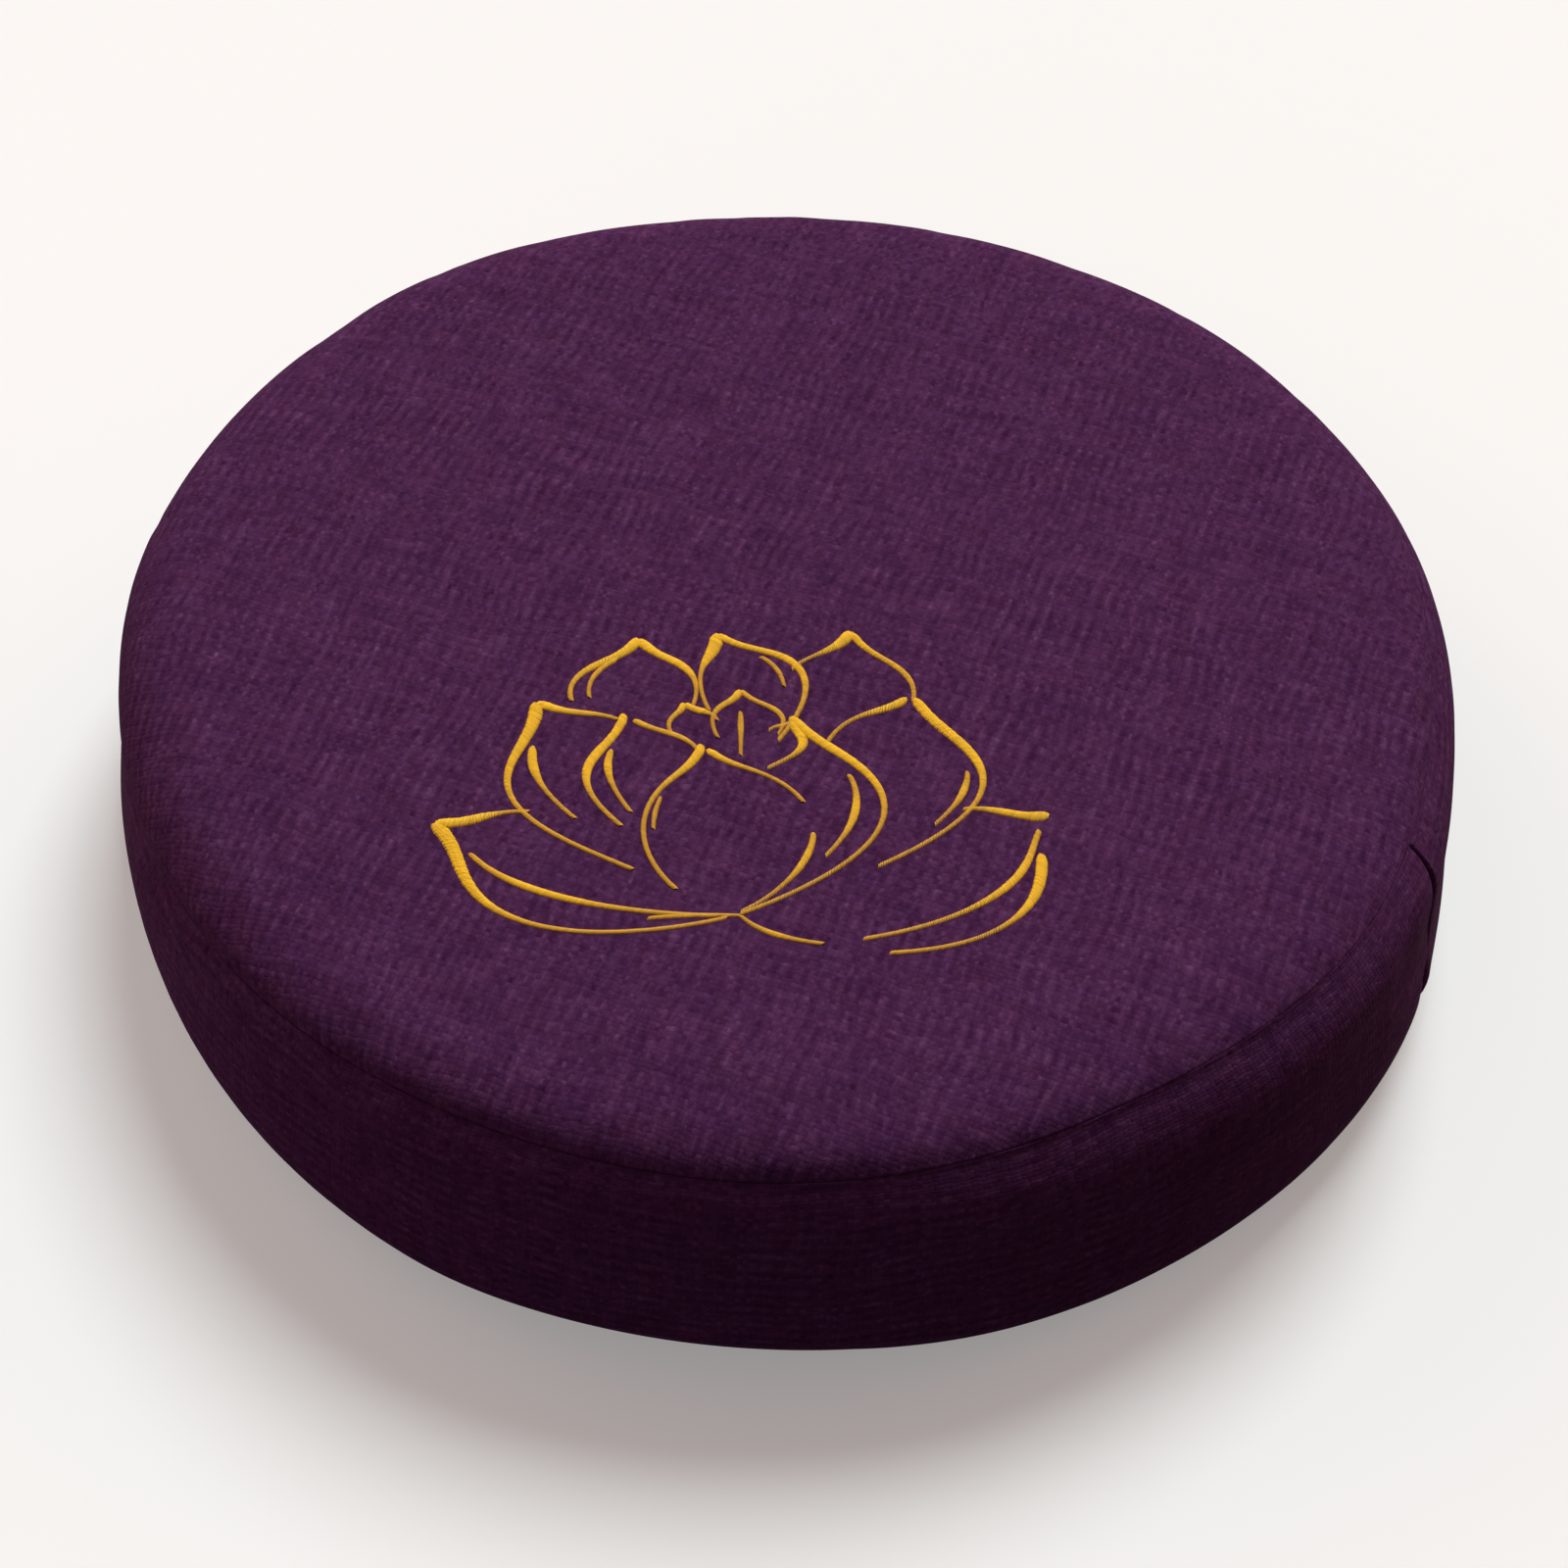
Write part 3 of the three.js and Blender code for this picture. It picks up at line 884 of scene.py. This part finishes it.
def linen(finish):
    """Slubby plain weave. Yarns are counted across the cloth in both directions, a little
    wavy; which one lies on top follows from the product of two sines. Each yarn has its own
    tone, with longer light and dark stretches, thicker slubs, fine flecks and soft patches.
    Every few warp yarns a faint rib follows from a sine, and streaks run along both yarns.
    Lighter places are greyer: the green part grows as a power of the light. Painted shade darkens the
    weave's low places, between and under the yarns."""
    shader = Shader(bpy.data.materials.new("purple_linen"))
    cloth = shader.node("UVMap", {"uv_map": "cloth"}, {})
    drift_x, drift_y = shader.parts(shader.noise(cloth, 35.0, 0, output="Color"))
    shake_x, shake_y = shader.parts(shader.noise(cloth, 330.0, 1, 0.6, output="Color"))
    place_x, place_y = shader.parts(cloth)
    a = place_x * (1 / finish.warp) + (drift_x - 0.5) * 2.6 + (shake_x - 0.5) * 0.9
    b = place_y * (1 / finish.weft) + (drift_y - 0.5) * 2.6 + (shake_y - 0.5) * 0.9
    yarn_a, yarn_b = a.math("FLOOR"), b.math("FLOOR")
    wave_a, wave_b = (a * math.pi).math("SINE"), (b * math.pi).math("SINE")
    round_a, round_b = wave_a.math("ABSOLUTE"), wave_b.math("ABSOLUTE")
    warp_up = (wave_a * wave_b).between(-0.25, 0.25)

    slub_a = shader.noise(shader.pair(yarn_a * 5.37, b * 0.11), 1.0, 2).between(0.34, 0.66)
    slub_b = shader.noise(shader.pair(a * 0.11, yarn_b * 5.37 + 31.0), 1.0, 2).between(0.34, 0.66)
    full_a = round_a ** (1.05 - slub_a * 0.75)
    full_b = round_b ** (1.05 - slub_b * 0.75)
    height_a = full_a * (round_b * 0.4 + 0.6) * (slub_a * 0.3 + 0.85)
    height_b = full_b * (round_a * 0.4 + 0.6) * (slub_b * 0.3 + 0.85)
    height = height_b + (height_a - height_b) * warp_up

    tone_a, tone_b = shader.chance(yarn_a), shader.chance(yarn_b + 0.5)
    streak_a = shader.noise(shader.pair(a * 0.42, b * 0.05 + 8.0), 1.0, 1, 0.7)
    streak_b = shader.noise(shader.pair(a * 0.05 + 53.0, b * 0.42), 1.0, 1, 0.7)
    thread_a = shader.noise(shader.pair(yarn_a * 3.91, b * 0.30), 1.0, 1)
    thread_b = shader.noise(shader.pair(a * 0.30, yarn_b * 3.91 + 53.0), 1.0, 1)
    light_a = thread_a + slub_a * 0.12 + tone_a * 0.10
    light_b = thread_b + slub_b * 0.12 + tone_b * 0.10 - 0.03
    light = 0.40 + light_b + (light_a - light_b) * warp_up
    light = light * (0.46 + streak_a * 0.54 + streak_b * 0.54)
    ribs = ((place_x * (1 / finish.rib) + (drift_x - 0.5) * 1.2) * math.tau).math("SINE")
    light = light * (1 + ribs * (shader.chance(yarn_b + 17.5) * 0.30 - 0.04))

    crossing = shader.chance(yarn_a * 7.31 + yarn_b * 3.17)
    fibre = shader.noise(cloth, 1500.0, 1, 0.6)
    fleck = shader.noise(cloth, 380.0, 2, 0.5)
    mottle = shader.noise(cloth, 95.0, 1, 0.5)
    # Painted shade: the factor of height darkens the low places between and under the yarns and lightens
    # the yarns' crowns
    light = light * (0.84 + height * 0.165) * (0.93 + fibre * 0.14) * (0.94 + crossing * 0.12)
    light = light * (0.72 + fleck * 0.56) * (0.88 + mottle * 0.24)

    hue = shader.noise(cloth, 90.0, 2, 0.6).between(0.2, 0.8)
    warmth = hue * 0.6 + crossing * 0.1 + (tone_b + (tone_a - tone_b) * warp_up) * 0.3
    plain = shader.mix(warmth.between(0.10, 0.50), (*finish.cool, 1), (*finish.ground, 1))
    plain = shader.mix(warmth.between(0.50, 0.90), plain, (*finish.warm, 1))
    light = light * 0.82 + 0.17
    relief_now = height * 0.8 + fleck * 1.0
    return shader.surface(
        Base_Color=shader.shaded(plain, light, light**1.5 * 1.04, light),
        Roughness=finish.roughness,
        Normal=shader.node("Bump", {}, {"Strength": 0.35, "Distance": 0.0004, "Height": relief_now}),
        Specular_IOR_Level=0.03,
    )


def gold_thread(finish):
    """Twisted glossy thread: slanting plies along each stitch, each stitch of its own tone, with painted
    shade in the grooves between the plies.
    """
    shader = Shader(bpy.data.materials.new("gold_thread"))
    along, around = shader.parts(shader.node("UVMap", {"uv_map": "thread"}, {}))
    twist = ((along * 5200.0 + around * 2.0 / THREAD_ROUND) * math.pi).math("SINE") * 0.5 + 0.5
    tone = shader.chance((around * 4000.0).math("FLOOR"))
    line = shader.node("Attribute", {"attribute_name": "line"}, {}, "Fac")
    full = line.between(0.28, 0.75)
    # Painted shade: the twist lightens each ply's crest and darkens the groove beside it
    light = 0.78 + tone * 0.24 + twist * 0.12
    # Painted sheen: full lines take the brighter gold, thin lines the duller one, in place of their
    # lesser sheen
    gold = shader.mix(full, (*finish.thin_gold_less_sheen, 1), (*finish.gold, 1))
    return shader.surface(
        Base_Color=shader.shaded(gold, light, light, light),
        Roughness=finish.roughness,
        Normal=shader.node("Bump", {}, {"Strength": 0.35, "Distance": 0.0001, "Height": twist}),
        Specular_IOR_Level=0.3,
    )


def pale_floor(finish):
    """Matt paper-white surface with a faint mottle."""
    shader = Shader(bpy.data.materials.new("pale_floor"))
    place = shader.node("TexCoord", {}, {}, "Object")
    mottle = shader.noise(place, 1.4, 2)
    white = shader.mix(mottle, tuple(0.985 * part for part in finish.floor) + (1,), (*finish.floor, 1))
    return shader.surface(
        Base_Color=white,
        Roughness=0.9,
        Specular_IOR_Level=0.0,
        Emission_Color=(1.0, 1.0, 1.0, 1.0),
        Emission_Strength=finish.glow,
    )


# Directions to the middles of the glows, and the powers by which they fade away from them
GLOWS = (((-0.763, 0.640, 0.087), 6), ((0.763, 0.640, 0.087), 6), ((-0.530, -0.830, 0.174), 4))


def soft_room(studio):
    """Light from all round and above the floor: two broad low glows behind on the left and on
    the right, a faint one at the front left, and very little else. Each glow is a power of how
    far the direction points towards its middle."""
    shader = Shader(bpy.data.worlds.new("soft_room"))
    way = shader.node("TexCoord", {}, {}, "Generated")
    above = shader.facing(way, (0, 0, 1)).between(0, 0.06)
    left, right, front = (
        shader.facing(way, towards).math("MAXIMUM", 0.0) ** power for towards, power in GLOWS
    )
    tints = ((3.42, 2.85, 0.73, 0.042), (2.45, 1.75, 0.50, 0.030), (1.95, 1.20, 0.56, 0.026))
    parts = [left * a + right * b + front * c + d for a, b, c, d in tints]
    light = shader.node("CombineColor", {}, dict(enumerate(parts)))
    lit = shader.node("Background", {}, {"Color": light, "Strength": above * studio.ambient})
    return shader.shown(lit, "OutputWorld")


# Operators

made = {}


def standing(place, right, back):
    """The matrix of an object at a place, its side and its back turned the given ways."""
    axes = (right, np.cross(back, right), back)
    turn = Matrix([list(map(float, axis)) for axis in axes]).transposed().to_4x4()
    return Matrix.Translation(place) @ turn


def in_scene(name, data, matrix):
    """A lamp or camera as an object of the scene."""
    thing = bpy.data.objects.new(name, data)
    bpy.context.scene.collection.objects.link(thing)
    thing.matrix_world = matrix
    return thing


class CUSHION_OT_sew_cover(bpy.types.Operator):
    """Make the filled cover with its panels, seams and folds"""

    bl_idname = "cushion.sew_cover"
    bl_label = "Sew and fill the cover"

    def execute(self, context):
        size, finish = settings_of(context, "sizes"), settings_of(context, "cloth")
        skin = Skin(size)
        skin.swell = fill_cushion(skin)
        degrees, rows, borders = cover_grid(size)
        points = skin.points(np.broadcast_to(degrees[:-1], rows[:, :-1].shape), rows[:, :-1])
        faces, *places = skin_faces(len(rows), len(degrees) - 1)
        uv = cloth_places(size, finish, degrees, rows, borders, *places)
        cover = put_mesh("cushion_cover", skin_points(points), faces)
        dress(cover, linen(finish), "cloth", uv)
        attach(cover, "root")
        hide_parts("cushion")
        made["skin"] = skin
        return {"FINISHED"}


class CUSHION_OT_embroider(bpy.types.Operator):
    """Stitch the lotus on the top panel in gold thread"""

    bl_idname = "cushion.embroider"
    bl_label = "Embroider the lotus"

    def execute(self, context):
        if "skin" not in made:
            raise RuntimeError("sew the cover before the embroidery")
        finish = settings_of(context, "thread")
        points, faces, uv, fullness = stitches(made["skin"], finish)
        lotus = put_mesh("lotus_stitches", points, [faces])
        dress(lotus, gold_thread(finish), "thread", uv)
        line = lotus.data.attributes.new("line", "FLOAT", "POINT")
        line.data.foreach_set("value", (fullness / WIDE_LINE).astype(np.float32))
        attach(lotus, "root")
        return {"FINISHED"}


class CUSHION_OT_set_stage(bpy.types.Operator):
    """Lay the floor, hang the lights and place the camera"""

    bl_idname = "cushion.set_stage"
    bl_label = "Set the stage"

    def execute(self, context):
        studio = settings_of(context, "studio")
        scene = context.scene
        corners = np.array([[-1, -1, 0], [1, -1, 0], [1, 1, 0], [-1, 1, 0]]) * 8.0
        floor = put_mesh("floor", corners, [np.array([[0, 1, 2, 3]])])
        floor.data.materials.append(pale_floor(studio))
        floor.visible_diffuse = False
        scene.world = soft_room(studio)

        key = bpy.data.lights.new("key", "SUN")
        key.energy, key.angle, key.color = studio.key, studio.spread, (0.89, 0.99, 1.0)
        back = unit(np.array([0.18, 0.62, 0.76]))
        in_scene("key", key, standing((-0.4, 1.2, 1.5), unit(np.cross([0, 0, 1], back)), back))

        camera = bpy.data.cameras.new("camera")
        camera.lens, camera.sensor_width = studio.lens, 36
        right = np.array([0.999207, 0.030371, 0.025764])
        back = np.array([0.000154, -0.649850, 0.760062])
        place = (0.000885, -0.707101, 0.838806)
        scene.camera = in_scene("camera", camera, standing(place, right, back))
        scene.view_settings.view_transform = "Standard"
        return {"FINISHED"}


class CUSHION_PT_panel(bpy.types.Panel):
    """Lists the cushion's pieces and settings"""

    bl_label = "Cushion"
    bl_space_type = "VIEW_3D"
    bl_region_type = "UI"
    bl_category = "Cushion"

    def draw(self, context):
        layout = self.layout
        operators = {"sizes": "sew_cover", "thread": "embroider", "studio": "set_stage"}
        for group in GROUPS:
            box = layout.box()
            settings = settings_of(context, group)
            for name in type(settings).__annotations__:
                box.prop(settings, name)
            if group in operators:
                box.operator("cushion." + operators[group])


GROUPS = {"sizes": CushionSizes, "cloth": ClothFinish, "thread": ThreadFinish, "studio": StudioSettings}
CLASSES = (
    *GROUPS.values(), CUSHION_OT_sew_cover, CUSHION_OT_embroider, CUSHION_OT_set_stage, CUSHION_PT_panel,
)


def register():
    for kind in CLASSES:
        bpy.utils.register_class(kind)
    for name, kind in GROUPS.items():
        setattr(bpy.types.Scene, "cushion_" + name, bpy.props.PointerProperty(type=kind))


def unregister():
    for name in GROUPS:
        delattr(bpy.types.Scene, "cushion_" + name)
    for kind in reversed(CLASSES):
        bpy.utils.unregister_class(kind)


def main():
    register()
    bpy.ops.cushion.set_stage()
    bpy.ops.cushion.sew_cover()
    bpy.ops.cushion.embroider()


if __name__ == "__main__":
    main()
